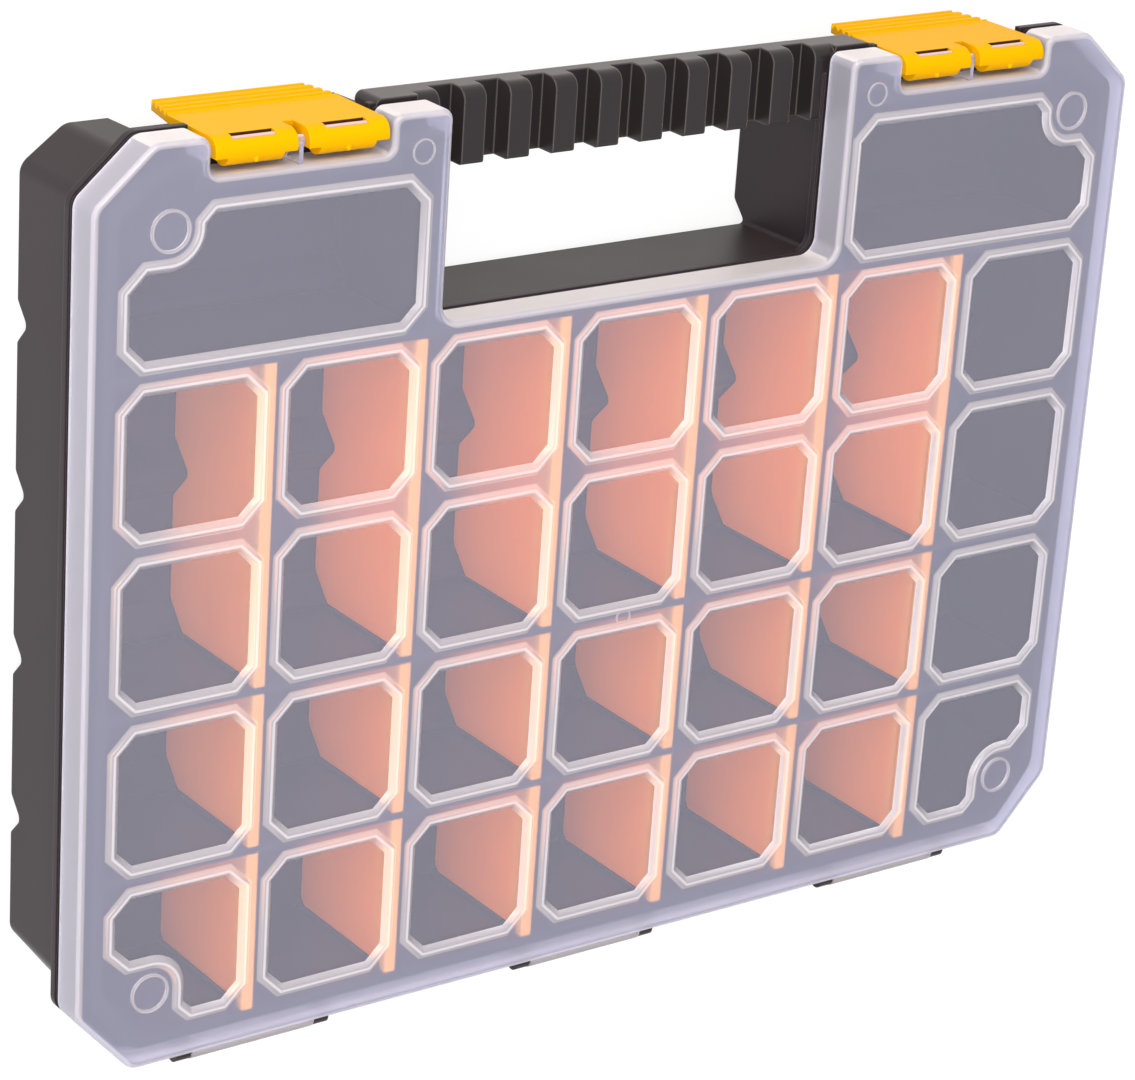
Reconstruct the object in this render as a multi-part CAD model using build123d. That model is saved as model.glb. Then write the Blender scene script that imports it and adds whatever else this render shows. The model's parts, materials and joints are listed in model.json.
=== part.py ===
from build123d import *
from math import atan2, cos, hypot, pi, sin, tan
import os

# All sizes are in millimetres. The box lies on its back as it does in use: X runs along
# its width, Y from the hinges to the handle and Z from the back of the tray to the lid.
# While the pieces are drawn, Y is counted from the middle of the first row of windows.

# Grid of small compartments
columns = 7
column_pitch = 53.0
row_pitch = 53.5
grid_shift = -1.9
tower_columns = 2

# Outline shared by the lid and the flange of the tray
side_margin = 10.5
bottom_margin = 11.25
top_zone = 69.05
top_chamfer = (19.4, 17.3)
bottom_chamfer = (19.4, 21.4)
outline_radius = 6.0
finger_margin = 3.7
hand_floor_rise = 2.15
hand_corner_radius = 6.0
finger_width = 21.0
finger_radius = 3.5
recess_side_margin = 38.0
recess_depth = 11.8
recess_radius = 3.0

# Levels above the back of the tray
case_depth = 58.4
lid_depth = 12.1
seat_gap = 0.2
seat_rise = 2.2
seat_inset = 0.8
flange_thickness = 2.4

# Lid shell
lid_wall = 1.8
lid_plate = 2.0
lid_edge_radius = 2.0
lid_corner_least = 0.5
rim_gap = 0.8
rim_side_gap = 0.4

# Tray
tub_side_inset = 6.0
tub_top_inset = 7.6
tub_bottom_inset = 6.0
tub_gap_margin = 0.9
tub_floor_margin = 0.2
tub_top_chamfer = (14.6, 11.0)
tub_bottom_chamfer = (14.7, 19.1)
tub_radius = 6.0
tub_hand_radius = 1.5
tub_tower_chamfer = 4.0
tub_draft = 1.3
tub_back_radius = 1.2
tray_wall = 2.0
tray_floor = 2.0
cross_wall = 2.0
latch_notch_depth = 3.8
latch_notch_gap = 0.8
latch_notch_slant = 5.8

# Grooves across the back, which stand up as ridges inside
groove_rise = 1.4
groove_half = 7.5
groove_depth = 7.4
groove_apex_radius = 2.4
groove_edge_radius = 6.0
ridge_foot_margin = 1.6
ridge_rise = 1.2

# Dividers and the guides that hold them
divider_thickness = 1.8
divider_rim_width = 4.2
divider_rim_height = 3.0
divider_top_gap = 1.0
divider_floor_gap = 0.3
divider_end_gap = 0.2
divider_back_radius = 5.0
divider_notch_radius = 2.5
guide_gap = 0.25
guide_thickness = 1.2
guide_reach = 1.4

# Hinges
hinge_side_margin = 67.1
hinge_below = 3.5
hinge_depth = 10.0
ear_spacing = 50.5
ear_thickness = 5.2
ear_radius = 3.2
barrel_radius = 3.4
barrel_end_gap = 0.35
hinge_pin_radius = 1.6
hinge_pin_length = 4.0
pin_clearance = 0.1
ear_foot_length = 5.5

# Latches and the rods of the lid that carry them
rod_below_top = 5.5
rod_depth = 5.0
rod_radius = 1.8
hub_radius = 4.6
latch_side_gap = 1.4
hub_gap = 3.9
latch_plate = 2.4
latch_reach = 39.4
grip_length = 15.4
grip_rise = 0.4
grip_lip = 3.0
grip_grooves = 4
grip_groove_depth = 1.4
grip_groove_share = 0.86
grip_groove_radius = 0.6
grip_corner = (3.2, 16.0)
grip_radius = 0.8
latch_side_radius = 8.0
latch_end_radius = 2.0
slot_length = 14.6
slot_front = 2.2
slot_back = 5.6
lip_inset = 4.2
lip_rise = 3.1
pip_radius = 0.9
catch_width = 36.0
catch_thickness = 2.2
catch_gap = 0.3
catch_drop = 3.5
flange_latch_gap = 0.5
gusset_thickness = 1.4
gusset_length = 8.4

# Carry handle
handle_rise = 1.0
handle_height = 23.8
handle_depth = 11.5
handle_end_gap = 0.4
handle_wall = 2.0
handle_pad_length = 19.1
handle_pad_radius = 2.5
handle_pad_gap = 0.3
handle_blocks = 10
block_overhang = 3.8
block_width = 8.0
block_depth = 7.4
block_radius = 4.2
block_low_radius = 1.2

# Windows, rings and marks of the lid
window_side_gap = 7.08
window_end_gap = 6.78
window_chamfer = 6.6
window_outer_left = 1.8
window_outer_right = 2.9
bead_foot = 2.0
bead_height = 1.1
bead_shoulder = (1.0, 0.75)
bead_crest = 0.4
bead_bevel = 2.2
pane_sink = 0.4
tall_window_top = 20.1
tall_window_bottom = 2.85
tall_window_inner = 2.6
boss_inset = (24.7, 25.85)
boss_radius = 6.1
boss_relief = 10.2
relief_flare = 4.2
relief_radius = 1.5
ring_width = 0.9
ring_height = 0.8
mark_radius = 3.7
mark_width = 0.6
mark_height = 0.3
gate_radius = 2.6

# Places worked out from the sizes
wall_lines = [row_pitch * (0.5 - n) for n in range(5)]
half_width = columns * column_pitch / 2 + side_margin
lid_top = wall_lines[0] + top_zone
lid_bottom = wall_lines[4] - bottom_margin
hand_half = (columns / 2 - tower_columns) * column_pitch - finger_margin
hand_floor = wall_lines[0] + hand_floor_rise
recess_inner = hand_half + finger_width
recess_outer = half_width - recess_side_margin
recess_width = recess_outer - recess_inner
recess_floor = lid_top - recess_depth
latch_x = (recess_inner + recess_outer) / 2
window_half_width = (column_pitch - window_side_gap) / 2
window_half_height = (row_pitch - window_end_gap) / 2
column_lines = [grid_shift + column_pitch * (n + 1 - columns / 2) for n in range(columns - 1)]

lid_back = case_depth - lid_depth
lid_under = case_depth - lid_plate
seat_front = lid_back - seat_gap
flange_front = seat_front - seat_rise
flange_back = flange_front - flange_thickness
rim_front = lid_under - rim_gap
divider_front = lid_under - divider_top_gap
divider_back = tray_floor + divider_floor_gap
guide_front = divider_front - divider_rim_height - divider_floor_gap

tub_top = lid_top - tub_top_inset
tub_bottom = lid_bottom + tub_bottom_inset
rim_hand_x = hand_half + lid_wall + rim_side_gap
rim_hand_y = hand_floor - lid_wall - rim_side_gap
ridge_foot = groove_half + ridge_foot_margin
ridge_top = groove_depth + tray_floor + ridge_rise
cavity_half = half_width - tub_side_inset - tub_draft - tray_wall
cavity_bottom = tub_bottom + tub_draft + tray_wall
cavity_top = rim_hand_y - tray_wall

axis_y = lid_bottom - hinge_below
axis_z = case_depth - hinge_depth
hinge_spacing = half_width - hinge_side_margin
hinge_centres = (-hinge_spacing, 0.0, hinge_spacing)
ear_inner = (ear_spacing - ear_thickness) / 2
barrel_half = ear_inner - barrel_end_gap

rod_y = lid_top - rod_below_top
rod_z = case_depth - rod_depth
latch_half = recess_width / 2 - latch_side_gap
latch_top = rod_y + hub_radius
latch_under = latch_top - latch_plate
latch_notch_half = latch_half - grip_corner[0] + latch_notch_gap
grip_end = rod_z - latch_reach
flange_latch_top = latch_under - flange_latch_gap

handle_top = lid_top + handle_rise
handle_bottom = handle_top - handle_height
handle_back = flange_front - handle_depth
handle_half = hand_half - handle_end_gap
handle_pad_end = handle_half + handle_pad_length
blocks_half = hand_half + block_overhang
block_pitch = (2 * blocks_half - block_width) / (handle_blocks - 1)
seat_y = tub_top

drawing_shift = -(handle_top + axis_y - barrel_radius) / 2


def face_from_corners(corners):
    """Closed flat face. Each corner is (x, y, radius), and a radius of 0 stays sharp."""
    turns = [a[0] * b[1] - b[0] * a[1] for a, b in zip(corners, corners[1:] + corners[:1])]
    if sum(turns) < 0:
        corners = corners[::-1]
    starts, ends, middles = [], [], []
    count = len(corners)
    for i, (x, y, radius) in enumerate(corners):
        before = corners[i - 1]
        after = corners[(i + 1) % count]
        if radius == 0:
            starts.append((x, y))
            ends.append((x, y))
            middles.append(None)
            continue
        back = atan2(before[1] - y, before[0] - x)
        ahead = atan2(after[1] - y, after[0] - x)
        half = abs((ahead - back + pi) % (2 * pi) - pi) / 2
        reach = radius / tan(half)
        starts.append((x + reach * cos(back), y + reach * sin(back)))
        ends.append((x + reach * cos(ahead), y + reach * sin(ahead)))
        mx, my = cos(back) + cos(ahead), sin(back) + sin(ahead)
        towards = (radius / sin(half) - radius) / hypot(mx, my)
        middles.append((x + mx * towards, y + my * towards))
    edges = []
    for i in range(count):
        if middles[i]:
            edges.append(ThreePointArc(starts[i], middles[i], ends[i]))
        edges.append(Line(ends[i], starts[(i + 1) % count]))
    return make_face(edges)


def mirrored(corners):
    """Corners of the right half, from the bottom to the top, with their mirror images."""
    return corners + [(-x, y, radius) for x, y, radius in reversed(corners)]


def lid_outline(inset):
    """Outline of the lid with its hand opening and latch recesses, moved in by a wall."""
    side = half_width - inset
    shrink = outline_radius - inset
    return face_from_corners(mirrored([
        (side - top_chamfer[0] + inset * 0.4, lid_bottom + inset, shrink),
        (side, lid_bottom + bottom_chamfer[1] + inset * 0.6, shrink),
        (side, lid_top - top_chamfer[1] - inset * 0.6, shrink),
        (side - top_chamfer[0] + inset * 0.4, lid_top - inset, shrink),
        (recess_outer + inset, lid_top - inset, max(finger_radius - inset, lid_corner_least)),
        (recess_outer + inset, recess_floor - inset, recess_radius + inset),
        (recess_inner - inset, recess_floor - inset, recess_radius + inset),
        (recess_inner - inset, lid_top - inset, max(finger_radius - inset, lid_corner_least)),
        (hand_half + inset, lid_top - inset, max(finger_radius - inset, lid_corner_least)),
        (hand_half + inset, hand_floor - inset, hand_corner_radius + inset),
    ]))


def flange_outline():
    """Outline of the flange: the lid's, lower behind the latches and under the handle."""
    return face_from_corners(mirrored([
        (half_width - bottom_chamfer[0], lid_bottom, outline_radius),
        (half_width, lid_bottom + bottom_chamfer[1], outline_radius),
        (half_width, lid_top - top_chamfer[1], outline_radius),
        (half_width - top_chamfer[0], lid_top, outline_radius),
        (recess_outer, lid_top, 0),
        (recess_outer, flange_latch_top, 0),
        (recess_inner, flange_latch_top, 0),
        (recess_inner, lid_top, 0),
        (handle_pad_end + handle_pad_gap, lid_top, 0),
        (handle_pad_end + handle_pad_gap, seat_y, 0),
        (hand_half, seat_y, 0),
        (hand_half, hand_floor, hand_corner_radius),
    ]))


def tub_outline(inset):
    """Outer outline of the tub behind the flange, drawn in by the draft at the back."""
    side = half_width - tub_side_inset - inset
    top = tub_top - inset
    bottom = tub_bottom + inset
    gap = hand_half + tub_gap_margin + inset
    floor = hand_floor - tub_floor_margin - inset
    notch = top - latch_notch_depth
    slant = latch_notch_half + latch_notch_slant
    return face_from_corners(mirrored([
        (side - tub_bottom_chamfer[0], bottom, tub_radius),
        (side, bottom + tub_bottom_chamfer[1], tub_radius),
        (side, top - tub_top_chamfer[1], tub_radius),
        (side - tub_top_chamfer[0], top, tub_radius),
        (latch_x + slant, top, 0),
        (latch_x + latch_notch_half, notch, 0),
        (latch_x - latch_notch_half, notch, 0),
        (latch_x - slant, top, 0),
        (gap + tub_tower_chamfer, top, 0),
        (gap, top - tub_tower_chamfer, 0),
        (gap, floor, tub_hand_radius),
    ]))


def rim_outline():
    """Outline of the wall that stands inside the lid, clear of its skirt."""
    side = half_width - tub_side_inset
    outer = recess_outer + lid_wall + rim_side_gap
    inner = recess_inner - lid_wall - rim_side_gap
    low = recess_floor - lid_wall - rim_side_gap
    return face_from_corners(mirrored([
        (side - tub_bottom_chamfer[0], tub_bottom, tub_radius),
        (side, tub_bottom + tub_bottom_chamfer[1], tub_radius),
        (side, tub_top - tub_top_chamfer[1], tub_radius),
        (side - tub_top_chamfer[0], tub_top, tub_radius),
        (outer, tub_top, 0),
        (outer, low, 0),
        (inner, low, 0),
        (inner, tub_top, 0),
        (rim_hand_x, tub_top, 0),
        (rim_hand_x, rim_hand_y, hand_corner_radius),
    ]))


def tower_cavity(side):
    """Top compartment beside the hand opening. side is -1 on the left and 1 on the right."""
    low = recess_floor - lid_wall - rim_side_gap - tray_wall
    top = tub_top - tub_draft - tray_wall
    outer = recess_outer + lid_wall + rim_side_gap + tray_wall
    inner = recess_inner - lid_wall - rim_side_gap - tray_wall
    radius = tub_radius - tray_wall
    corners = [
        (rim_hand_x + tray_wall, cavity_top, 0),
        (cavity_half, cavity_top, 0),
        (cavity_half, top - tub_top_chamfer[1], radius),
        (cavity_half - tub_top_chamfer[0], top, radius),
        (outer, top, 0),
        (outer, low, 0),
        (inner, low, 0),
        (inner, top, 0),
        (rim_hand_x + tray_wall, top, 0),
    ]
    return face_from_corners([(side * x, y, r) for x, y, r in corners])


def main_cavity():
    """Space below the hand opening, whose lower corners follow the chamfers of the tub."""
    radius = tub_radius - tray_wall
    return face_from_corners(mirrored([
        (cavity_half - tub_bottom_chamfer[0], cavity_bottom, radius),
        (cavity_half, cavity_bottom + tub_bottom_chamfer[1], radius),
        (cavity_half, cavity_top, 0),
    ]))


def along_x(face, start, length):
    """Prism along X of a face drawn with Y to the right and Z up."""
    return Pos(start, 0, 0) * extrude(Plane.YZ * face, amount=length, dir=(1, 0, 0))


def groove_profile(line):
    """Rounded V across the back, open below, with soft edges where it meets the pads."""
    centre = line + groove_rise
    side = groove_half + 2 * groove_edge_radius
    return face_from_corners([
        (centre - side, -groove_depth, 0),
        (centre + side, -groove_depth, 0),
        (centre + side, 0, 0),
        (centre + groove_half, 0, groove_edge_radius),
        (centre, groove_depth, groove_apex_radius),
        (centre - groove_half, 0, groove_edge_radius),
        (centre - side, 0, 0),
    ])


def ridge_profile(line):
    """The same V one floor thickness higher, which keeps the floor even over a groove."""
    centre = line + groove_rise
    return face_from_corners([
        (centre - ridge_foot, 0, 0),
        (centre + ridge_foot, 0, 0),
        (centre + ridge_foot, tray_floor, 0),
        (centre, ridge_top, groove_apex_radius + tray_floor),
        (centre - ridge_foot, tray_floor, 0),
    ])


def divider_spans():
    """Lowest and highest Y of the three kinds of divider, between the walls that hold them."""
    return {
        "tall": (wall_lines[2] + cross_wall / 2, cavity_top),
        "middle": (wall_lines[3] + cross_wall / 2, wall_lines[2] - cross_wall / 2),
        "low": (cavity_bottom, wall_lines[3] - cross_wall / 2),
    }


def make_guides(face_y, towards, low_x, high_x):
    """Pairs of ribs on the face of a wall, one pair for each divider that ends at it."""
    height = guide_front - tray_floor
    offset = divider_thickness / 2 + guide_gap + guide_thickness / 2
    rib = Pos(0, face_y + towards * guide_reach / 2, tray_floor + height / 2) * Box(
        guide_thickness, guide_reach, height)
    places = [x + step for x in column_lines for step in (-offset, offset)]
    return [Pos(x, 0, 0) * rib for x in places if low_x < x < high_x]


def make_ridges():
    """The four ridges of the floor, each a little longer than the tray is wide."""
    return [along_x(ridge_profile(line), -half_width, 2 * half_width) for line in wall_lines[:4]]


def make_cross_wall(low_x, high_x, high_y, sides):
    """Wall across the tray with its ribs. sides says which way they point: -1 down, 1 up."""
    height = rim_front - tray_floor
    middle = (low_x + high_x) / 2
    wall = Box(high_x - low_x, cross_wall, height)
    wall = Pos(middle, high_y - cross_wall / 2, tray_floor + height / 2) * wall
    for side in sides:
        face_y = high_y if side > 0 else high_y - cross_wall
        wall += make_guides(face_y, side, low_x, high_x)
    return wall - make_ridges()


def make_ear(x):
    """Ear of the tray: a rounded end round the hinge line on a foot slanted to the tub."""
    top = lid_bottom - (hinge_below - ear_radius)
    low = axis_y - ear_radius
    foot_back = flange_back - ear_foot_length
    plate = face_from_corners([
        (low, axis_z, 0),
        (tub_bottom + tray_wall, foot_back, 0),
        (tub_bottom + tray_wall, flange_front, 0),
        (top, flange_front, 0),
        (top, axis_z, 0),
    ])
    plate = plate + Pos(axis_y, axis_z) * Circle(ear_radius)
    plate = plate - Pos(axis_y, axis_z) * Circle(hinge_pin_radius + pin_clearance)
    return along_x(plate, x - ear_thickness / 2, ear_thickness)


def make_tub():
    """Solid tub with its draft and rounded back edge, and with the grooves across its back."""
    tub = loft([tub_outline(tub_draft), Pos(0, 0, flange_back) * tub_outline(0)], ruled=True)
    tub = fillet(tub.faces().sort_by(Axis.Z)[0].edges(), tub_back_radius)
    return tub - [along_x(groove_profile(line), -half_width, 2 * half_width) for line in wall_lines[:4]]


def cavities(low_z, height):
    """Prisms of the main space and of the two towers beside the hand opening."""
    faces = [main_cavity(), tower_cavity(-1), tower_cavity(1)]
    return [Pos(0, 0, low_z) * extrude(face, height) for face in faces]


def latch_wall_block(side):
    """Block that takes the thick wall behind a latch out of the tub."""
    low = recess_floor - lid_wall - rim_side_gap - tray_wall
    high = tub_top
    block = Box(2 * latch_notch_half, high - low, flange_back)
    return Pos(side * latch_x, (low + high) / 2, flange_back / 2) * block


def make_tray_back(tub):
    """Back panel inside the tray's walls, with the ridges over its grooves."""
    inside = cavities(0, ridge_top)
    inside = inside[0] + inside[1:]
    level = Pos(0, (tub_top + tub_bottom) / 2, tray_floor / 2) * Box(
        2 * half_width, tub_top - tub_bottom, tray_floor)
    return tub & inside & (level + make_ridges())


def make_tray(tub):
    """Black tray: walls of the tub, flange with the lid's seat, inner rim and hinge ears."""
    flange = Pos(0, 0, flange_back) * extrude(flange_outline(), flange_thickness)
    rim = Pos(0, 0, flange_front) * extrude(rim_outline(), rim_front - flange_front)
    seat_step = Pos(0, 0, flange_front) * extrude(lid_outline(seat_inset), seat_rise)
    blocks = [latch_wall_block(side) for side in (-1, 1)]
    tray = (tub - blocks + flange + seat_step + rim) - cavities(-1, rim_front + 2)
    reach = rim_hand_x + tray_wall
    guides = make_guides(cavity_top, -1, -reach, reach)
    guides += make_guides(cavity_bottom, 1, -cavity_half, cavity_half)
    tray += [guide - make_ridges() for guide in guides]
    seat_length = handle_pad_end - rim_hand_x
    seat_height = tray_wall + tub_draft
    seat = Box(seat_length, seat_height, flange_back - handle_back)
    seat_z = (flange_back + handle_back) / 2
    for side in (-1, 1):
        x = side * (rim_hand_x + seat_length / 2)
        tray += Pos(x, seat_y - seat_height / 2, seat_z) * seat
    ears = [make_ear(x + side * ear_spacing / 2) for x in hinge_centres for side in (-1, 1)]
    return tray + ears


def window_outline(corners, grow):
    """Window with chamfered corners, given by its crest line, moved out by grow."""
    left, right, low, high = corners
    left, right, low, high = left - grow, right + grow, low - grow, high + grow
    cut = window_chamfer + grow * 0.6
    return face_from_corners([
        (left + cut, low, 0),
        (right - cut, low, 0),
        (right, low + cut, 0),
        (right, high - cut, 0),
        (right - cut, high, 0),
        (left + cut, high, 0),
        (left, high - cut, 0),
        (left, low + cut, 0),
    ])


def relieved_outline(corners, boss, grow):
    """Window whose corner next to a ring boss is cut back on a circle round the boss."""
    left, right, low, high = corners
    centre_x, centre_y = boss
    side = 1 if centre_x > 0 else -1
    up = 1 if centre_y > (low + high) / 2 else -1
    edge_x = (right if side > 0 else left) + side * grow
    far_x = (left if side > 0 else right) - side * grow
    edge_y = (high if up > 0 else low) + up * grow
    far_y = (low if up > 0 else high) - up * grow
    relief = boss_relief - grow
    cut = window_chamfer + grow * 0.6
    step_x = centre_x - side * relief
    step_y = centre_y - up * relief
    flare = relief_flare + grow * 0.6
    return face_from_corners([
        (far_x + side * cut, far_y, 0),
        (edge_x - side * cut, far_y, 0),
        (edge_x, far_y + up * cut, 0),
        (edge_x, step_y - up * cut, 0),
        (edge_x - side * cut, step_y, 0),
        (step_x, step_y, relief),
        (step_x, edge_y - up * flare, relief_radius),
        (step_x - side * flare, edge_y, relief_radius),
        (far_x + side * cut, edge_y, 0),
        (far_x, edge_y - up * cut, 0),
        (far_x, far_y + up * cut, 0),
    ])


def window_shapes():
    """Functions that give each window outline for a growth outwards from its crest line."""
    boss_x = half_width - boss_inset[0]
    boss_high = lid_top - boss_inset[1]
    boss_low = lid_bottom + boss_inset[1]
    shapes = []
    for row in range(4):
        for column in range(columns):
            x = grid_shift + column_pitch * (column - (columns - 1) / 2)
            y = -row_pitch * row
            left = x - window_half_width - (window_outer_left if column == 0 else 0)
            right = x + window_half_width + (window_outer_right if column == columns - 1 else 0)
            corners = (left, right, y - window_half_height, y + window_half_height)
            if row == 3 and column in (0, columns - 1):
                side = -1 if column == 0 else 1
                boss = (side * boss_x, boss_low)
                shapes.append(lambda grow, c=corners, b=boss: relieved_outline(c, b, grow))
            else:
                shapes.append(lambda grow, c=corners: window_outline(c, grow))
    inner = (columns / 2 - tower_columns) * column_pitch + tall_window_inner
    outer = (columns - 1) / 2 * column_pitch + window_half_width
    low = wall_lines[0] + tall_window_bottom
    high = lid_top - tall_window_top
    left = (grid_shift - outer - window_outer_left, grid_shift - inner, low, high)
    right = (grid_shift + inner, grid_shift + outer + window_outer_right, low, high)
    for side, corners in ((-1, left), (1, right)):
        boss = (side * boss_x, boss_high)
        shapes.append(lambda grow, c=corners, b=boss: relieved_outline(c, b, grow))
    return shapes


def stack(shape, steps):
    """Solid through the outlines at the given steps, each a growth and a height."""
    faces = [Pos(0, 0, case_depth + height) * shape(grow) for grow, height in steps]
    return [loft([low, high], ruled=True) for low, high in zip(faces, faces[1:])]


def make_bead(shape):
    """Raised bead round a window: a soft slope outside, a crest and a bevel to the pane."""
    side, rise = bead_shoulder
    outer = [(bead_foot, -lid_plate / 2), (bead_foot, 0), (side, rise), (bead_crest, bead_height)]
    hole = [(-bead_bevel, -pane_sink), (-side, rise), (-bead_crest, bead_height),
            (-bead_crest, 2 * bead_height)]
    return stack(shape, outer), stack(shape, hole)


def make_ring(x, y, radius, width, height):
    """Plain raised ring on the front of the lid."""
    ring = Circle(radius + width / 2) - Circle(radius - width / 2)
    return Pos(x, y, lid_under) * extrude(ring, lid_plate + height)


def make_barrel(x):
    """Hinge knuckle of the lid with a stub pin at each end, hung from the skirt."""
    neck = hinge_below + lid_wall
    rise = barrel_radius + axis_z - lid_back
    knuckle = Pos(axis_y, axis_z) * Circle(barrel_radius)
    knuckle += Pos(axis_y + neck / 2, lid_back + rise / 2) * Rectangle(neck, rise)
    body = along_x(knuckle, x - barrel_half, 2 * barrel_half)
    length = 2 * (barrel_half + barrel_end_gap + hinge_pin_length)
    pin = along_x(Pos(axis_y, axis_z) * Circle(hinge_pin_radius), x - length / 2, length)
    return body + pin


def make_rod(side):
    """Rod across a latch recess and the thin gusset that props it in the middle."""
    start = side * latch_x - recess_width / 2 - lid_wall / 2
    rod = along_x(Pos(rod_y, rod_z) * Circle(rod_radius), start, recess_width + lid_wall)
    front = case_depth - lid_edge_radius
    gusset = face_from_corners([
        (recess_floor - lid_wall / 2, front, 0),
        (recess_floor - lid_wall / 2, front - gusset_length, 0),
        (recess_floor, front - gusset_length, 0),
        (rod_y, rod_z - rod_radius / 2, 0),
        (rod_y, front, 0),
    ])
    return rod + along_x(gusset, side * latch_x - gusset_thickness / 2, gusset_thickness)


def make_lid():
    """Clear lid: shell with skirt, beaded windows, ring bosses, latch rods and hinge knuckles."""
    shell = Pos(0, 0, lid_back) * extrude(lid_outline(0), lid_depth)
    shell = fillet(shell.faces().sort_by(Axis.Z)[-1].edges(), lid_edge_radius)
    shell -= Pos(0, 0, lid_back) * extrude(lid_outline(lid_wall), lid_depth - lid_plate)
    beads = []
    holes = []
    for shape in window_shapes():
        bead, hole = make_bead(shape)
        beads += bead
        holes += hole
    lid = (shell + beads) - holes
    boss_x = half_width - boss_inset[0]
    ring_sites = [(side * boss_x, y) for side in (-1, 1)
                  for y in (lid_top - boss_inset[1], lid_bottom + boss_inset[1])]
    rings = [make_ring(x, y, boss_radius, ring_width, ring_height) for x, y in ring_sites]
    mark_x = hand_half + finger_width / 2
    rings += [make_ring(side * mark_x, recess_floor, mark_radius, mark_width, mark_height)
              for side in (-1, 1)]
    rings.append(make_ring(0, wall_lines[2], gate_radius, mark_width, mark_height))
    return lid + rings + [make_rod(side) for side in (-1, 1)] + [make_barrel(x) for x in hinge_centres]


def latch_plan(side):
    """Outline of a latch seen along its rod's normal, narrower at the grip."""
    cut_x, cut_z = grip_corner
    front = rod_z + hub_radius
    return face_from_corners([
        (side * latch_x - latch_half, front, 0),
        (side * latch_x - latch_half, grip_end + cut_z, latch_side_radius),
        (side * latch_x - latch_half + cut_x, grip_end, latch_end_radius),
        (side * latch_x + latch_half - cut_x, grip_end, latch_end_radius),
        (side * latch_x + latch_half, grip_end + cut_z, latch_side_radius),
        (side * latch_x + latch_half, front, 0),
    ])


def latch_profile():
    """Side view of a latch: hub, plate and the thicker grip at its end."""
    grip_top = latch_top + grip_rise
    plate = face_from_corners([
        (latch_top, rod_z, 0),
        (latch_top, grip_end + grip_length, 0),
        (grip_top, grip_end + grip_length - grip_rise, 0),
        (grip_top, grip_end, grip_radius),
        (grip_top - grip_lip, grip_end, grip_radius),
        (grip_top - grip_lip, grip_end + grip_lip, 0),
        (latch_under, grip_end + grip_length, 0),
        (latch_under, rod_z, 0),
    ])
    return plate + Pos(rod_y, rod_z) * Circle(hub_radius)


def make_latch(side):
    """Yellow latch: two hubs on the rod, plate, ribbed grip and a catch behind the flange."""
    centre = side * latch_x
    body = along_x(latch_profile(), centre - latch_half, 2 * latch_half)
    height = 4 * hub_radius + grip_rise
    plan = extrude(Plane.XZ * latch_plan(side), amount=-2 * height)
    body &= Pos(0, rod_y - height, 0) * plan
    bore = Pos(rod_y, rod_z) * Circle(rod_radius + pin_clearance)
    body -= along_x(bore, centre - latch_half, 2 * latch_half)
    gap = Box(hub_gap, 4 * hub_radius, 2 * hub_radius + 2)
    body -= Pos(centre, rod_y, rod_z) * gap
    pitch = grip_length / grip_grooves
    half = pitch * grip_groove_share / 2
    for n in range(grip_grooves):
        z = grip_end + pitch * (n + 0.5)
        tooth = face_from_corners([
            (latch_top + 2 * grip_rise, z - half, 0),
            (latch_top + grip_rise - grip_groove_depth, z, grip_groove_radius),
            (latch_top + 2 * grip_rise, z + half, 0),
        ])
        body -= along_x(tooth, centre - latch_half, 2 * latch_half)
    hub_length = latch_half - hub_gap / 2
    for offset in (-1, 1):
        hub_x = centre + offset * (hub_gap + hub_length) / 2
        slot = Box(slot_length, 2 * hub_radius, slot_back - slot_front)
        slot_z = case_depth - (slot_front + slot_back) / 2
        body -= Pos(hub_x, rod_y + hub_radius + rod_radius / 2, slot_z) * slot
        for end in (-1, 1):
            corner = Box(lip_inset, lip_rise, 3 * hub_radius)
            x = hub_x + end * (hub_length - lip_inset) / 2
            body -= Pos(x, rod_y - hub_radius + lip_rise / 2, rod_z) * corner
        body += Pos(hub_x, rod_y - hub_radius * 0.6, rod_z + hub_radius * 0.8) * Sphere(pip_radius)
    catch_z = flange_back - catch_gap - catch_thickness / 2
    catch = Box(catch_width, catch_drop + latch_plate / 2, catch_thickness)
    catch = chamfer(catch.edges().filter_by(Axis.X).group_by(Axis.Y)[0], catch_thickness * 0.3)
    return body + Pos(centre, latch_under - catch_drop / 2 + latch_plate / 4, catch_z) * catch


def level_over_ridge(offset):
    """Level that a divider keeps this far in Y from the centre of a ridge."""
    slope = (ridge_top - tray_floor) / ridge_foot
    return divider_back + (ridge_foot + 2 * divider_floor_gap - abs(offset)) * slope


def divider_profile(low, high, ridges):
    """Side view of a divider, cut back over each ridge of the floor that it meets."""
    low += divider_end_gap
    high -= divider_end_gap
    reach = ridge_foot + 2 * divider_floor_gap
    corners = []
    for centre in [line + groove_rise for line in ridges]:
        if centre - reach < low < centre + reach:
            corners.append((low, level_over_ridge(low - centre), divider_back_radius))
            corners.append((centre + reach, divider_back, divider_back_radius))
        elif centre - reach < high < centre + reach:
            corners.append((centre - reach, divider_back, divider_back_radius))
            corners.append((high, level_over_ridge(high - centre), divider_back_radius))
        elif low < centre < high:
            corners.append((centre - reach, divider_back, divider_notch_radius))
            corners.append((centre, level_over_ridge(0), divider_notch_radius))
            corners.append((centre + reach, divider_back, divider_notch_radius))
    if corners[0][0] > low:
        corners.insert(0, (low, divider_back, divider_back_radius))
    return face_from_corners([(low, divider_front, 0)] + corners + [(high, divider_front, 0)])


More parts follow.
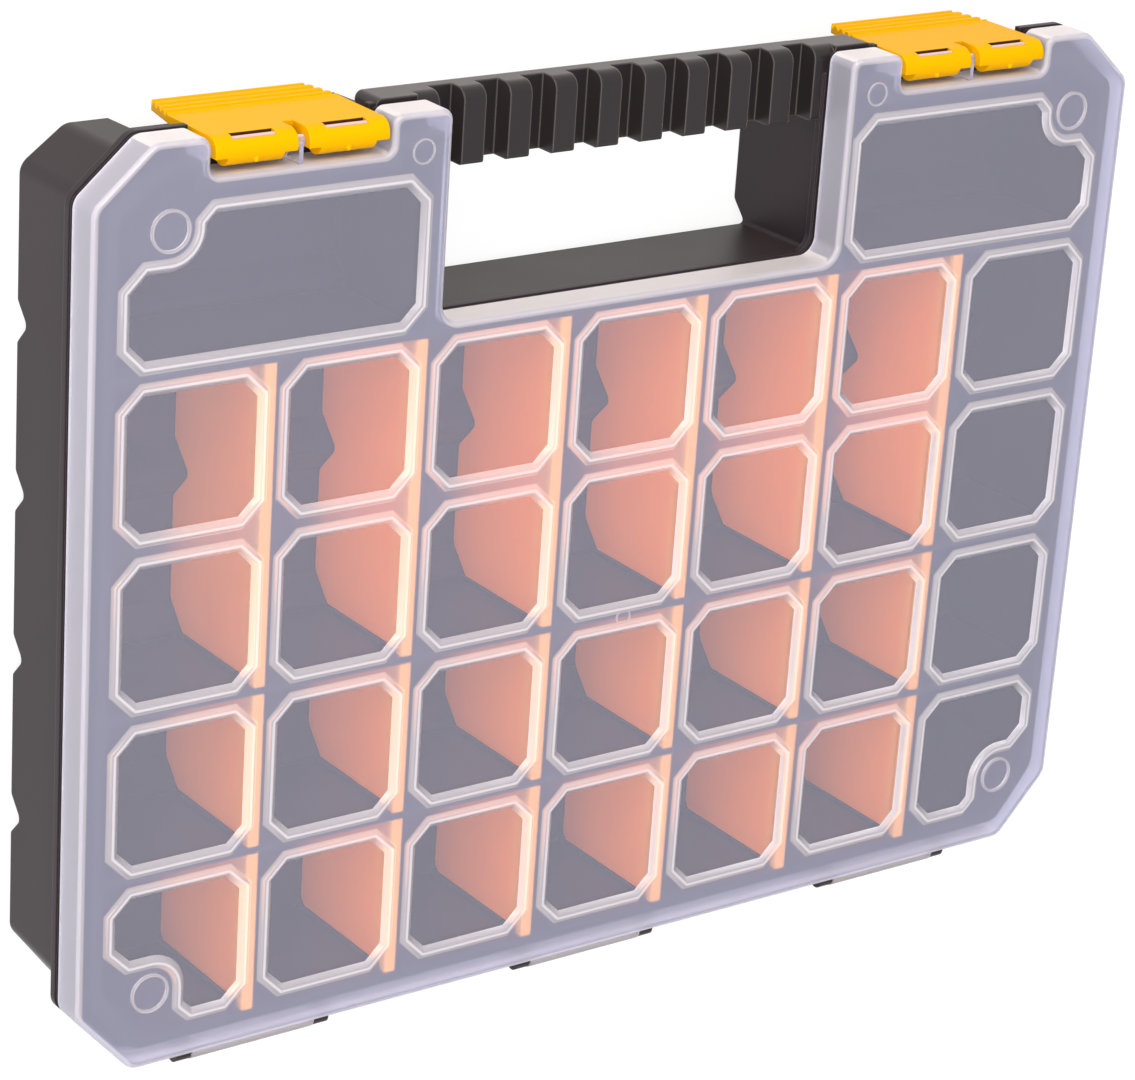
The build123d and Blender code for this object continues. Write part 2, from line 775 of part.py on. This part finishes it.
def make_divider(x, low, high):
    """Removable divider: thin plate with a wider rim along its front."""
    profile = divider_profile(low, high, sorted(wall_lines[:4]))
    plate = along_x(profile, x - divider_thickness / 2, divider_thickness)
    length = high - low - 2 * divider_end_gap
    rim = Box(divider_rim_width, length, divider_rim_height)
    rim = fillet(rim.edges().filter_by(Axis.Y).group_by(Axis.Z)[-1], divider_rim_height / 4)
    return plate + Pos(x, (low + high) / 2, divider_front - divider_rim_height / 2) * rim


def make_handle():
    """Carry handle: a bar open at the back with blocks along its front and a pad at each end."""
    middle_y = (handle_top + handle_bottom) / 2
    middle_z = flange_front - handle_depth / 2
    bar = Pos(0, middle_y, middle_z) * Box(2 * handle_half, handle_height, handle_depth)
    pad_height = handle_top - seat_y
    pad = Box(2 * handle_pad_end, pad_height, handle_depth)
    pad = fillet(pad.edges().filter_by(Axis.Z).group_by(Axis.Y)[-1], handle_pad_radius)
    handle = bar + Pos(0, handle_top - pad_height / 2, middle_z) * pad
    front = face_from_corners([
        (handle_top + 1, flange_front + 1, 0),
        (handle_top + 1, flange_front - block_radius - 1, 0),
        (handle_top, flange_front - block_radius - 1, 0),
        (handle_top, flange_front, block_radius),
        (handle_bottom, flange_front, block_low_radius),
        (handle_bottom, flange_front - block_radius - 1, 0),
        (handle_bottom - 1, flange_front - block_radius - 1, 0),
        (handle_bottom - 1, flange_front + 1, 0),
    ])
    handle -= along_x(front, -blocks_half, 2 * blocks_half)
    groove = Box(block_pitch - block_width, 2 * handle_height, block_depth)
    for n in range(handle_blocks - 1):
        x = (n + 1 - handle_blocks / 2) * block_pitch
        handle -= Pos(x, middle_y, flange_front - block_depth / 2) * groove
    pocket_depth = handle_depth - block_depth - handle_wall
    pocket = Box(2 * (handle_half - handle_wall), handle_height - 2 * handle_wall, pocket_depth)
    return handle - Pos(0, middle_y, handle_back + pocket_depth / 2) * pocket


def all_parts():
    """Every piece of the box by name."""
    tub = make_tub()
    parts = {"base_tray": make_tray(tub), "tray_back": make_tray_back(tub)}
    parts["lid"] = make_lid()
    parts["carry_handle"] = make_handle()
    for name, side in (("latch_left", -1), ("latch_right", 1)):
        parts[name] = make_latch(side)
        parts["wall_" + name] = tub & latch_wall_block(side)
    tower = rim_hand_x + tray_wall
    parts["wall_tower_left"] = make_cross_wall(-cavity_half, -tower, rim_hand_y, [-1])
    parts["wall_tower_right"] = make_cross_wall(tower, cavity_half, rim_hand_y, [-1])
    for name, line in (("wall_middle", wall_lines[2]), ("wall_low", wall_lines[3])):
        high = line + cross_wall / 2
        parts[name] = make_cross_wall(-cavity_half, cavity_half, high, [-1, 1])
    for kind, (low, high) in divider_spans().items():
        for n, x in enumerate(column_lines):
            parts[f"divider_{kind}_{n + 1}"] = make_divider(x, low, high)
    return parts


os.makedirs("parts", exist_ok=True)
for name, shape in all_parts().items():
    export_step(Pos(0, drawing_shift, 0) * shape, f"parts/{name}.step")
print("width", 2 * half_width, "length", handle_top - axis_y + barrel_radius)
print("drawing shift", drawing_shift, "hinge line", axis_y + drawing_shift, axis_z)
print("latch rod", latch_x, rod_y + drawing_shift, rod_z)
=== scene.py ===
import json
from math import radians
import bmesh
import bpy
import numpy as np
from mathutils import Matrix, Vector

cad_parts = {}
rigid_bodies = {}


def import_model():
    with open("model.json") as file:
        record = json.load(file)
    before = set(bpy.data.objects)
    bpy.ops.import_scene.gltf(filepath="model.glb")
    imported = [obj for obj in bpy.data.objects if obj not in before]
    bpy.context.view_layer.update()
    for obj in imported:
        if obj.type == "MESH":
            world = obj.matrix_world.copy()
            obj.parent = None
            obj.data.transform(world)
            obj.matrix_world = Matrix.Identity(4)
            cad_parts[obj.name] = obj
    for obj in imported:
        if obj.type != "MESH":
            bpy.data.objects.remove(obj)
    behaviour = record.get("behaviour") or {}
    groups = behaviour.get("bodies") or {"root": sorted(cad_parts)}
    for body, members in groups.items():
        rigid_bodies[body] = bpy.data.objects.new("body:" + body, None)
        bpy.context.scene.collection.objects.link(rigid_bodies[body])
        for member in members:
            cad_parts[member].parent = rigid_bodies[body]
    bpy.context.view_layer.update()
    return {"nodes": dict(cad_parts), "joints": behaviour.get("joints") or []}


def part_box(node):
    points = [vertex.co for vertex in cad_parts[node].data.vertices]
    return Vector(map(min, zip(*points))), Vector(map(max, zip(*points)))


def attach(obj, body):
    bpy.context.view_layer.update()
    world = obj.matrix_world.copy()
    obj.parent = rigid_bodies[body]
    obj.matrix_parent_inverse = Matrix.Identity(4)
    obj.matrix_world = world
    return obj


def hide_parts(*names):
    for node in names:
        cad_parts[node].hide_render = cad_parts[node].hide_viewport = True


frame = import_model()
nodes = frame["nodes"]

# Levels of the lid in metres above the back of the tray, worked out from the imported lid. The
# skirt starts at a share of the edge's radius below the plate.
crest_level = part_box("lid")[1][2]
bead_height = 0.0011
pane_sink = 0.0004
lid_plate = 0.0020
lid_edge_radius = 0.0020
skirt_share = 0.6
plate_level = crest_level - bead_height
pane_level = plate_level - pane_sink
under_level = plate_level - lid_plate
rounding_level = plate_level - lid_edge_radius
skirt_level = plate_level - lid_edge_radius * skirt_share
level_slack = 0.00001

# Reach in metres of the lid's clear webs each way from the middle of a latch, and of the lid's
# knuckles from the hinge line to the skirt
web_half = 0.0015
knuckle_reach = 0.0022

# Parts of a face's normal: a flat face's along its axis, a wall's upwards at most, a rounding's
# upwards at least, and a wall's towards the handle at least
flat = 0.99
wall = 0.9
rounding = 0.25
to_handle = 0.8

# Slots of the latches in metres: half length, gap between hubs, and the rod and shadow in a slot
# as (y, z) from the pivot
slot_half = 0.00725
hub_gap = 0.0039
slot_rod_place = (0.00292, 0.00125)
slot_rod_radius = 0.00112
slot_rod_sides = 20
slot_shadow = [(0.00445, -0.00055), (0.00445, -0.00045), (0.0026, -0.00045), (0.0026, 0.0002),
               (0.0022, 0.0002), (0.0022, -0.00055)]

# Smooth shading: the angle above which an edge stays sharp, how near an axis a face's normal is
# for the face to count as square to it, and how much such a face outweighs the rest
sharp_angle = radians(40)
square_normal = 0.99999
square_weight = 10000.0
merge_distance = 1e-6

# Depth in metres over which a divider is painted lighter from its rim, as light soaking in
rim_depth = 0.012

# Inputs and output of a Mix node that mixes colours
mix_low, mix_high, mix_result = 6, 7, 2


def new_group(name, inputs, outputs):
    """Empty node group. Inputs are given as (name, type, value) and outputs as (name, type)."""
    group = bpy.data.node_groups.new(name, "ShaderNodeTree")
    for title, kind, value in inputs:
        socket = group.interface.new_socket(title, in_out="INPUT", socket_type=kind)
        socket.default_value = value
    for title, kind in outputs:
        group.interface.new_socket(title, in_out="OUTPUT", socket_type=kind)
    return group, group.nodes.new("NodeGroupInput"), group.nodes.new("NodeGroupOutput")


def set_or_link(tree, socket, value):
    """Gives a socket a plain value, or links it to the socket that gives its value."""
    if isinstance(value, bpy.types.NodeSocket):
        tree.links.new(value, socket)
    else:
        socket.default_value = value


def add_math(tree, operation, first, second):
    """Math node. Each operand is a number or the socket that gives it."""
    node = tree.nodes.new("ShaderNodeMath")
    node.operation = operation
    set_or_link(tree, node.inputs[0], first)
    set_or_link(tree, node.inputs[1], second)
    return node.outputs[0]


def mix_colors(tree, mask, low, high):
    """Colour between low and high by a mask. Each is a colour or the socket that gives it."""
    mix = tree.nodes.new("ShaderNodeMix")
    mix.data_type = "RGBA"
    tree.links.new(mask, mix.inputs["Factor"])
    for place, value in ((mix_low, low), (mix_high, high)):
        color = (*value, 1) if isinstance(value, tuple) else value
        set_or_link(tree, mix.inputs[place], color)
    return mix.outputs[mix_result]


def make_grain_group():
    """Fine moulded grain as a normal and slow clouds as a mask, from the piece's own place."""
    group, given, result = new_group("moulded_grain", [
        ("Grain Scale", "NodeSocketFloat", 2500.0),
        ("Grain Strength", "NodeSocketFloat", 0.2),
        ("Cloud Scale", "NodeSocketFloat", 30.0),
    ], [("Normal", "NodeSocketVector"), ("Clouds", "NodeSocketFloat")])
    place = group.nodes.new("ShaderNodeTexCoord")
    grain = group.nodes.new("ShaderNodeTexNoise")
    grain.inputs["Detail"].default_value = 3
    group.links.new(place.outputs["Object"], grain.inputs["Vector"])
    group.links.new(given.outputs["Grain Scale"], grain.inputs["Scale"])
    bump = group.nodes.new("ShaderNodeBump")
    bump.inputs["Distance"].default_value = 0.0001
    group.links.new(grain.outputs["Fac"], bump.inputs["Height"])
    group.links.new(given.outputs["Grain Strength"], bump.inputs["Strength"])
    clouds = group.nodes.new("ShaderNodeTexNoise")
    clouds.inputs["Detail"].default_value = 2
    group.links.new(place.outputs["Object"], clouds.inputs["Vector"])
    group.links.new(given.outputs["Cloud Scale"], clouds.inputs["Scale"])
    group.links.new(bump.outputs[0], result.inputs["Normal"])
    group.links.new(clouds.outputs["Fac"], result.inputs["Clouds"])
    return group


def make_edge_group():
    """Rounded normal at sharp edges, and a mask of the edges where it leaves the true normal."""
    group, given, result = new_group("soft_edges", [
        ("Radius", "NodeSocketFloat", 0.0006),
        ("Gain", "NodeSocketFloat", 6.0),
        ("Normal", "NodeSocketVector", (0, 0, 0)),
    ], [("Normal", "NodeSocketVector"), ("Edges", "NodeSocketFloat")])
    bevel = group.nodes.new("ShaderNodeBevel")
    bevel.samples = 6
    group.links.new(given.outputs["Radius"], bevel.inputs["Radius"])
    group.links.new(given.outputs["Normal"], bevel.inputs["Normal"])
    plain = group.nodes.new("ShaderNodeBevel")
    plain.samples = 6
    group.links.new(given.outputs["Radius"], plain.inputs["Radius"])
    geometry = group.nodes.new("ShaderNodeNewGeometry")
    dot = group.nodes.new("ShaderNodeVectorMath")
    dot.operation = "DOT_PRODUCT"
    group.links.new(plain.outputs[0], dot.inputs[0])
    group.links.new(geometry.outputs["Normal"], dot.inputs[1])
    apart = add_math(group, "SUBTRACT", 1.0, dot.outputs["Value"])
    scaled = add_math(group, "MULTIPLY", apart, given.outputs["Gain"])
    mask = add_math(group, "MINIMUM", scaled, 1.0)
    group.links.new(bevel.outputs[0], result.inputs["Normal"])
    group.links.new(mask, result.inputs["Edges"])
    return group


def make_rim_group():
    """Mask rising from 0 at a low level to 1 at a high one, where light soaking in from a rim is
    painted.
    """
    group, given, result = new_group("lit_rim", [
        ("Low", "NodeSocketFloat", 0.0),
        ("High", "NodeSocketFloat", 1.0),
    ], [("Rim", "NodeSocketFloat")])
    place = group.nodes.new("ShaderNodeTexCoord")
    parts = group.nodes.new("ShaderNodeSeparateXYZ")
    group.links.new(place.outputs["Object"], parts.inputs[0])
    reach = group.nodes.new("ShaderNodeMapRange")
    reach.interpolation_type = "SMOOTHSTEP"
    group.links.new(parts.outputs["Z"], reach.inputs["Value"])
    group.links.new(given.outputs["Low"], reach.inputs["From Min"])
    group.links.new(given.outputs["High"], reach.inputs["From Max"])
    group.links.new(reach.outputs["Result"], result.inputs["Rim"])
    return group


grain_group = make_grain_group()
edge_group = make_edge_group()
rim_group = make_rim_group()


def place_group(tree, group, **values):
    """Places a node group in a material, with its own values for the named inputs."""
    node = tree.nodes.new("ShaderNodeGroup")
    node.node_tree = group
    for title, value in values.items():
        node.inputs[title.replace("_", " ")].default_value = value
    return node


def moulded(name, dark, light, edge_highlight, roughness, grain=(1500.0, 0.05), edge_radius=0.0005,
            gloss=0.5, sheen=0.0, rim_glow=None):
    """Opaque moulded plastic: clouds between two colours, painted edge highlights and a fine grain.

    Roughness is its least and greatest value, and grain its scale and strength. A rim glow, given
    as its low level, high level and colour, is painted light where a thin wall is lit through.
    """
    material = bpy.data.materials.new(name)
    material.use_nodes = True
    tree = material.node_tree
    shader = tree.nodes["Principled BSDF"]
    texture = place_group(tree, grain_group, Grain_Scale=grain[0], Grain_Strength=grain[1])
    edges = place_group(tree, edge_group, Radius=edge_radius)
    tree.links.new(texture.outputs["Normal"], edges.inputs["Normal"])
    body = mix_colors(tree, texture.outputs["Clouds"], dark, light)
    if rim_glow:
        lit = place_group(tree, rim_group, Low=rim_glow[0], High=rim_glow[1])
        # Painted light: towards the rim the body takes the rim glow colour
        body = mix_colors(tree, lit.outputs["Rim"], body, rim_glow[2])
    # Painted highlight: the edge colour is laid over the body along sharp edges
    whole = mix_colors(tree, edges.outputs["Edges"], body, edge_highlight)
    tree.links.new(whole, shader.inputs["Base Color"])
    least, greatest = roughness
    spread = add_math(tree, "MULTIPLY", texture.outputs["Clouds"], greatest - least)
    tree.links.new(add_math(tree, "ADD", spread, least), shader.inputs["Roughness"])
    tree.links.new(edges.outputs["Normal"], shader.inputs["Normal"])
    shader.inputs["Specular IOR Level"].default_value = gloss
    shader.inputs["Sheen Weight"].default_value = sheen
    shader.inputs["Sheen Roughness"].default_value = 0.4
    shader.inputs["Sheen Tint"].default_value = (1.0, 0.84, 0.72, 1)
    return material


def translucent(name, color, roughness, transmission, shade, grain=(900.0, 0.05), edge_highlight=None):
    """Clear or frosted plastic, with a paler highlight painted along its edges where one is given.

    Light that only casts shadows passes through it, tinted by the shade.
    """
    cloud_dip, edge_radius, plastic_ior = 0.96, 0.0012, 1.49
    material = bpy.data.materials.new(name)
    material.use_nodes = True
    tree = material.node_tree
    shader = tree.nodes["Principled BSDF"]
    texture = place_group(tree, grain_group, Grain_Scale=grain[0], Grain_Strength=grain[1])
    low = tuple(cloud_dip * part for part in color)
    body = mix_colors(tree, texture.outputs["Clouds"], low, color)
    if edge_highlight:
        edges = place_group(tree, edge_group, Radius=edge_radius)
        # Painted highlight: the edge colour is laid over the body along sharp edges
        body = mix_colors(tree, edges.outputs["Edges"], body, edge_highlight)
    tree.links.new(body, shader.inputs["Base Color"])
    tree.links.new(texture.outputs["Normal"], shader.inputs["Normal"])
    shader.inputs["Roughness"].default_value = roughness
    shader.inputs["Transmission Weight"].default_value = transmission
    shader.inputs["IOR"].default_value = plastic_ior
    through = tree.nodes.new("ShaderNodeBsdfTransparent")
    through.inputs["Color"].default_value = (*shade, 1)
    path = tree.nodes.new("ShaderNodeLightPath")
    mix = tree.nodes.new("ShaderNodeMixShader")
    tree.links.new(path.outputs["Is Shadow Ray"], mix.inputs[0])
    tree.links.new(shader.outputs[0], mix.inputs[1])
    tree.links.new(through.outputs[0], mix.inputs[2])
    tree.links.new(mix.outputs[0], tree.nodes["Material Output"].inputs[0])
    return material


def put_in_scene(name, mesh):
    """Object that carries a mesh, at the origin of the scene."""
    piece = bpy.data.objects.new(name, mesh)
    bpy.context.scene.collection.objects.link(piece)
    return piece


def merged_copy(name, node):
    """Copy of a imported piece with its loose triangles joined."""
    mesh = nodes[node].data.copy()
    mesh.name = name
    mesh.materials.clear()
    shape = bmesh.new()
    shape.from_mesh(mesh)
    bmesh.ops.remove_doubles(shape, verts=shape.verts, dist=merge_distance)
    shape.to_mesh(mesh)
    shape.free()
    return put_in_scene(name, mesh)


def smooth(piece):
    """Smooth shading that keeps flat faces flat and edges over the sharp angle crisp.

    The normal of a face's corner is the mean of the faces round its point that lie within the
    sharp angle of that face, weighted by area, where a face square to an axis outweighs the rest.
    """
    mesh = piece.data
    mesh.polygons.foreach_set("use_smooth", [True] * len(mesh.polygons))
    faces, corners = len(mesh.polygons), len(mesh.loops)
    normal, area, sides = np.empty(faces * 3), np.empty(faces), np.empty(faces, dtype=np.int32)
    mesh.polygons.foreach_get("normal", normal)
    mesh.polygons.foreach_get("area", area)
    mesh.polygons.foreach_get("loop_total", sides)
    normal = normal.reshape(-1, 3)
    point = np.empty(corners, dtype=np.int32)
    mesh.loops.foreach_get("vertex_index", point)
    face = np.repeat(np.arange(faces), sides)

    # Every corner is paired with each corner that shares its point, itself among them
    order = np.argsort(point, kind="stable")
    shared = np.bincount(point)
    start = np.cumsum(shared) - shared
    times = shared[point[order]]
    own = np.repeat(order, times)
    step = np.arange(len(own)) - np.repeat(np.cumsum(times) - times, times)
    other = order[start[point[own]] + step]

    near = (normal[face[own]] * normal[face[other]]).sum(axis=1) > np.cos(sharp_angle)
    square = np.abs(normal).max(axis=1) > square_normal
    weight = (area * np.where(square, square_weight, 1.0))[face[other]] * near
    total = np.zeros((corners, 3))
    np.add.at(total, own, normal[face[other]] * weight[:, None])
    total /= np.linalg.norm(total, axis=1)[:, None]
    mesh.normals_split_custom_set(total.tolist())


def make_lid_finishes():
    """Finishes of the lid, by the kind of face that each is for."""
    return {
        "front": translucent("lid_front", (0.67, 0.68, 0.90), 0.28, 0.72, (0.94, 0.94, 0.95)),
        "pane": translucent("lid_pane", (0.78, 0.78, 1.0), 0.0, 0.84, (0.97, 0.97, 0.98),
                            grain=(200.0, 0.02)),
        "inside": translucent("lid_inside", (1.0, 1.0, 1.0), 0.0, 1.0, (0.99, 0.99, 0.99),
                              grain=(200.0, 0.02)),
        "slope": translucent("lid_slope", (0.92, 0.88, 0.95), 0.28, 0.60, (0.92, 0.92, 0.93)),
        # Painted highlight: the bead's crest is whiter and less clear, as the bright line along it
        "crest": translucent("lid_crest_highlight", (0.96, 0.92, 0.97), 0.28, 0.36, (0.88, 0.88, 0.90)),
        # Painted highlight: the skirt is a paler white along its edges
        "skirt": translucent("lid_skirt", (0.68, 0.67, 0.75), 0.34, 0.64, (0.84, 0.84, 0.86),
                             edge_highlight=(1.0, 0.98, 1.0)),
        # Painted light: the skirt's faces towards the handle are a paler, warmer copy of the skirt,
        # as lit from above
        "lit_top": translucent("lid_lit_top", (0.97, 0.92, 0.90), 0.40, 0.38, (0.80, 0.80, 0.82)),
        # Painted highlight: the rounding of the lid's edge is paler than the front
        "rounding": translucent("lid_rounding_highlight", (0.90, 0.87, 0.95), 0.30, 0.62,
                                (0.88, 0.88, 0.90)),
        "web": translucent("lid_web", (0.95, 0.92, 0.97), 0.05, 0.90, (0.97, 0.97, 0.98)),
        "knuckle": translucent("lid_knuckle", (0.52, 0.48, 0.50), 0.36, 0.60,
                               (0.84, 0.84, 0.86)),
    }


def sort_lid_faces(mesh):
    """Faces of each kind on the lid, as masks. A later kind takes faces from an earlier one.

    A face's kind follows from the level of its middle and the way that it faces.
    """
    normal, middle = np.empty(len(mesh.polygons) * 3), np.empty(len(mesh.polygons) * 3)
    mesh.polygons.foreach_get("normal", normal)
    mesh.polygons.foreach_get("center", middle)
    across, along, up = normal.reshape(-1, 3).T
    x, y, level = middle.reshape(-1, 3).T
    hinge = next(joint["pos_m"] for joint in frame["joints"] if joint["child"] == "lid")
    latches = [joint["pos_m"] for joint in frame["joints"] if joint["parent"] == "lid"]
    skirt = (level < skirt_level) & (abs(up) < wall)
    on_edge = (level > rounding_level) & (level < plate_level - level_slack)
    in_web = np.any([abs(x - pivot[0]) < web_half for pivot in latches], axis=0)
    return {
        "pane": (abs(level - pane_level) < level_slack) & (up > flat),
        "inside": (abs(level - under_level) < level_slack) & (up < -flat),
        "slope": level > plate_level + level_slack,
        "crest": (level > crest_level - level_slack) & (up > flat),
        "skirt": skirt,
        # Painted light: skirt faces towards the handle, lit from above
        "lit_top": skirt & (along > to_handle),
        "rounding": on_edge & (up > rounding) & (up < flat),
        "knuckle": y < hinge[1] + knuckle_reach,
        "web": in_web & (abs(across) > flat),
    }


def make_lid():
    """Lid with a finish for each kind of face, where a face of no other kind is the front."""
    piece = merged_copy("lid_shell", "lid")
    mesh = piece.data
    finishes = make_lid_finishes()
    for finish in finishes.values():
        mesh.materials.append(finish)
    kinds = list(finishes)
    index = np.full(len(mesh.polygons), kinds.index("front"), dtype=np.int32)
    for kind, faces in sort_lid_faces(mesh).items():
        index[faces] = kinds.index(kind)
    mesh.polygons.foreach_set("material_index", index)
    smooth(piece)
    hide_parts("lid")
    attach(piece, "lid")


def bar_along_x(name, profile, low_x, high_x, material):
    """Closed bar: a closed profile of (y, z) points carried straight along x, with flat ends."""
    points = np.array(profile)
    count = len(points)
    corners = np.empty((2 * count, 3))
    corners[:, 0] = np.repeat((low_x, high_x), count)
    corners[:, 1:] = np.tile(points, (2, 1))
    first = np.arange(count)
    after = (first + 1) % count
    sides = np.stack([first, after, after + count, first + count], axis=1).tolist()
    ends = [first[::-1].tolist(), (first + count).tolist()]
    mesh = bpy.data.meshes.new(name)
    mesh.from_pydata(corners.tolist(), [], sides + ends)
    shape = bmesh.new()
    shape.from_mesh(mesh)
    bmesh.ops.recalc_face_normals(shape, faces=shape.faces)
    shape.to_mesh(mesh)
    shape.free()
    mesh.materials.append(material)
    return put_in_scene(name, mesh)


def make_slot_fillings(body, rod_finish, shadow_finish):
    """Rod and shadow seen in the two slots of a latch, as bars let into the slots.

    The rod's profile is a circle, as points at equal angles round its middle.
    """
    low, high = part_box(body)
    joint = next(entry for entry in frame["joints"] if entry["child"] == body)
    pivot = np.array(joint["pos_m"])
    turn = np.linspace(0, 2 * np.pi, slot_rod_sides, endpoint=False)
    circle = slot_rod_radius * np.stack([np.cos(turn), np.sin(turn)], axis=1)
    rod = pivot[1:] + slot_rod_place + circle
    shadow = pivot[1:] + np.array(slot_shadow)
    slot_offset = ((high[0] - low[0]) / 2 + hub_gap / 2) / 2
    for side, word in ((-1, "left"), (1, "right")):
        middle = pivot[0] + side * slot_offset
        ends = middle - slot_half, middle + slot_half
        pieces = [bar_along_x(f"{body}_rod_{word}", rod, *ends, rod_finish),
                  bar_along_x(f"{body}_shadow_{word}", shadow, *ends, shadow_finish)]
        smooth(pieces[0])
        for piece, finish_slot in zip(pieces, ("lid", "tray")):
            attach(piece, body)


def set_camera():
    """Camera at the photograph's place: position and axes solved from the grid of windows."""
    right = (0.81512251, 0.06416689, 0.57572381)
    up = (0.16118186, 0.9294782, -0.33179917)
    back = (-0.55641325, 0.36325321, 0.74729606)
    place = (-0.70065, 0.44646, 0.96695)
    camera = bpy.data.objects.new("camera", bpy.data.cameras.new("camera"))
    camera.matrix_world = Matrix([*zip(right, up, back, place), (0, 0, 0, 1)])
    camera.data.sensor_width = 36
    camera.data.lens = 122.454
    camera.data.clip_start = 0.05
    bpy.context.scene.collection.objects.link(camera)
    bpy.context.scene.camera = camera


def area_light(name, place, size, power, color):
    """Rectangular lamp at a place, turned to the middle of the case's back."""
    light = bpy.data.lights.new(name, "AREA")
    light.color = color
    light.shape = "RECTANGLE"
    light.size, light.size_y = size
    light.energy = power
    lamp = bpy.data.objects.new(name, light)
    lamp.rotation_euler = (-Vector(place)).to_track_quat("-Z", "Y").to_euler()
    lamp.location = place
    lamp.visible_transmission = False
    bpy.context.scene.collection.objects.link(lamp)


def seen_directly(tree):
    """1 for rays from the camera, a mirror or clear plastic, which see the white background."""
    path = tree.nodes.new("ShaderNodeLightPath")
    direct = add_math(tree, "MAXIMUM", path.outputs["Is Camera Ray"],
                      path.outputs["Is Glossy Ray"])
    return add_math(tree, "MAXIMUM", direct, path.outputs["Is Transmission Ray"])


def make_world(color, strength):
    """Even, faintly tinted surroundings, plain white where they are seen directly."""
    world = bpy.data.worlds.new("world")
    world.use_nodes = True
    tree = world.node_tree
    background = tree.nodes["Background"]
    seen = mix_colors(tree, seen_directly(tree), color, (1, 1, 1))
    tree.links.new(seen, background.inputs["Color"])
    level = add_math(tree, "MULTIPLY", seen_directly(tree), 1.0 - strength)
    tree.links.new(add_math(tree, "ADD", level, strength), background.inputs["Strength"])
    bpy.context.scene.world = world


def make_floor(reach, gray, glow_strength, shadow_share):
    """Pale floor that the case lies on: a square of gray, nearly white to the eye.

    What the eye sees is an even glow and a thin share of lit floor that keeps the case's shadow.
    """
    mesh = bpy.data.meshes.new("floor")
    corners = [(-reach, -reach, 0), (reach, -reach, 0), (reach, reach, 0), (-reach, reach, 0)]
    mesh.from_pydata(corners, [], [(0, 1, 2, 3)])
    floor = put_in_scene("floor", mesh)
    material = bpy.data.materials.new("floor")
    material.use_nodes = True
    tree = material.node_tree
    tree.nodes.clear()
    out = tree.nodes.new("ShaderNodeOutputMaterial")
    plain = tree.nodes.new("ShaderNodeBsdfDiffuse")
    plain.inputs["Color"].default_value = (gray, gray, gray, 1)
    glow = tree.nodes.new("ShaderNodeEmission")
    glow.inputs["Strength"].default_value = glow_strength
    thin = tree.nodes.new("ShaderNodeBsdfDiffuse")
    thin.inputs["Color"].default_value = (shadow_share, shadow_share, shadow_share, 1)
    add = tree.nodes.new("ShaderNodeAddShader")
    tree.links.new(glow.outputs[0], add.inputs[0])
    tree.links.new(thin.outputs[0], add.inputs[1])
    mix = tree.nodes.new("ShaderNodeMixShader")
    tree.links.new(seen_directly(tree), mix.inputs[0])
    tree.links.new(plain.outputs[0], mix.inputs[1])
    tree.links.new(add.outputs[0], mix.inputs[2])
    tree.links.new(mix.outputs[0], out.inputs[0])
    mesh.materials.append(material)


def finish_packed_pieces():
    """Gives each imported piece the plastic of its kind: tray, handle, divider or latch."""
    # The third colour of each plastic is the highlight painted on its edges
    tray = moulded("tray", (0.020, 0.0130, 0.0165), (0.027, 0.0185, 0.0225),
                   (0.06, 0.050, 0.054), (0.38, 0.46), grain=(3500.0, 0.03),
                   edge_radius=0.0006, gloss=0.19, sheen=0.05)
    handle = moulded("handle", (0.014, 0.011, 0.012), (0.020, 0.016, 0.0175),
                     (0.105, 0.088, 0.083), (0.30, 0.38), grain=(3500.0, 0.03),
                     edge_radius=0.0009, gloss=0.30, sheen=0.16)
    rim_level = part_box("divider_tall_1")[1][2]
    lit_rim_color = (1.0, 0.44, 0.07)
    # Painted light: the divider's top is painted paler orange, as lit through the lid
    divider = moulded("divider", (1.0, 0.25, 0.02), (1.0, 0.29, 0.03), lit_rim_color, (0.35, 0.42),
                      gloss=0.25, rim_glow=(rim_level - rim_depth, rim_level, lit_rim_color))
    latch = moulded("latch", (0.83, 0.40, 0.0), (0.87, 0.44, 0.0), (0.96, 0.55, 0.01),
                    (0.34, 0.42), gloss=0.03)
    for name, node in nodes.items():
        material = tray
        if name.startswith("divider"):
            material = divider
        if name.startswith("latch"):
            material = latch
        if name == "carry_handle":
            material = handle
        node.data.materials.clear()
        node.data.materials.append(material)


bpy.context.scene.view_settings.view_transform = "Standard"
set_camera()
make_world(color=(0.90, 0.92, 1.0), strength=0.62)
make_floor(reach=4, gray=0.8, glow_strength=0.86, shadow_share=0.22)
area_light("key", (-0.5, 1.5, 1.2), (1.2, 1.0), 22, (1.0, 0.90, 0.80))
area_light("fill", (-1.3, 0.15, 1.7), (1.2, 1.2), 27, (1.0, 0.97, 0.95))
finish_packed_pieces()
make_lid()
# The third colour of the rod and of the shadow is the highlight painted on their edges
rod_finish = moulded("rod", (0.62, 0.42, 0.36), (0.70, 0.50, 0.44), (0.80, 0.66, 0.60),
                     (0.25, 0.32), edge_radius=0.0003)
shadow_finish = moulded("slot_shadow", (0.045, 0.012, 0.006), (0.06, 0.02, 0.01),
                        (0.10, 0.04, 0.02), (0.5, 0.6), edge_radius=0.0003, gloss=0.2)
for body in ("latch_left", "latch_right"):
    make_slot_fillings(body, rod_finish, shadow_finish)
